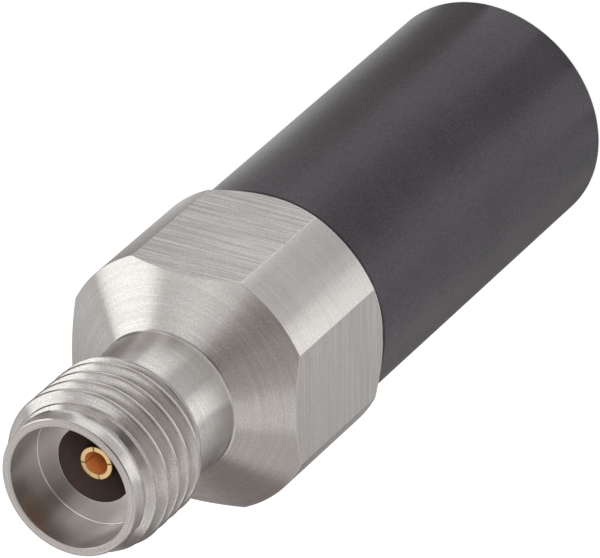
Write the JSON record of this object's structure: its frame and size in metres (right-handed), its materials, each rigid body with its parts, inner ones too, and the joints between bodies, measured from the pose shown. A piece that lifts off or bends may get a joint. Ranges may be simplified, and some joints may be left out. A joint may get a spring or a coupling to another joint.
{
  "type": "mismatch termination",
  "caption": "Coaxial mismatch termination with a threaded microwave socket, a steel body with wrench flats and a closed black sleeve over its load.",
  "frame": {"origin": "centre of the flat closed end of the sleeve, on which the part stands", "axes": "+Z along the axis, from the closed end to the socket's front ring; +X and +Y square to two of the wrench flats"},
  "size_m": [0.0092, 0.0092, 0.031],
  "materials": {
    "stainless_steel": "turned and milled, passivated",
    "gold_plating": "gold-plated beryllium copper",
    "bead_polymer": "machined polyetherimide",
    "line_brass": "turned brass",
    "resistor_ceramic": "alumina with a resistive film",
    "cap_silver": "silver-plated",
    "spring_steel": "rolled spring steel",
    "black_anodised": "black anodised, satin"
  },
  "bodies": {
    "root": {"connector_body": "stainless_steel", "centre_contact": "gold_plating", "support_bead": "bead_polymer", "bead_bush": "line_brass", "inner_line": "gold_plating", "resistor_rod": "resistor_ceramic", "front_cap": "cap_silver", "rear_cap": "cap_silver", "outer_line": "line_brass", "line_nut": "stainless_steel", "ground_collet": "gold_plating", "front_disc_spring": "spring_steel", "rear_disc_spring": "spring_steel", "thrust_washer": "stainless_steel", "load_plug": "line_brass", "sleeve": "black_anodised"}
  },
  "joints": []
}
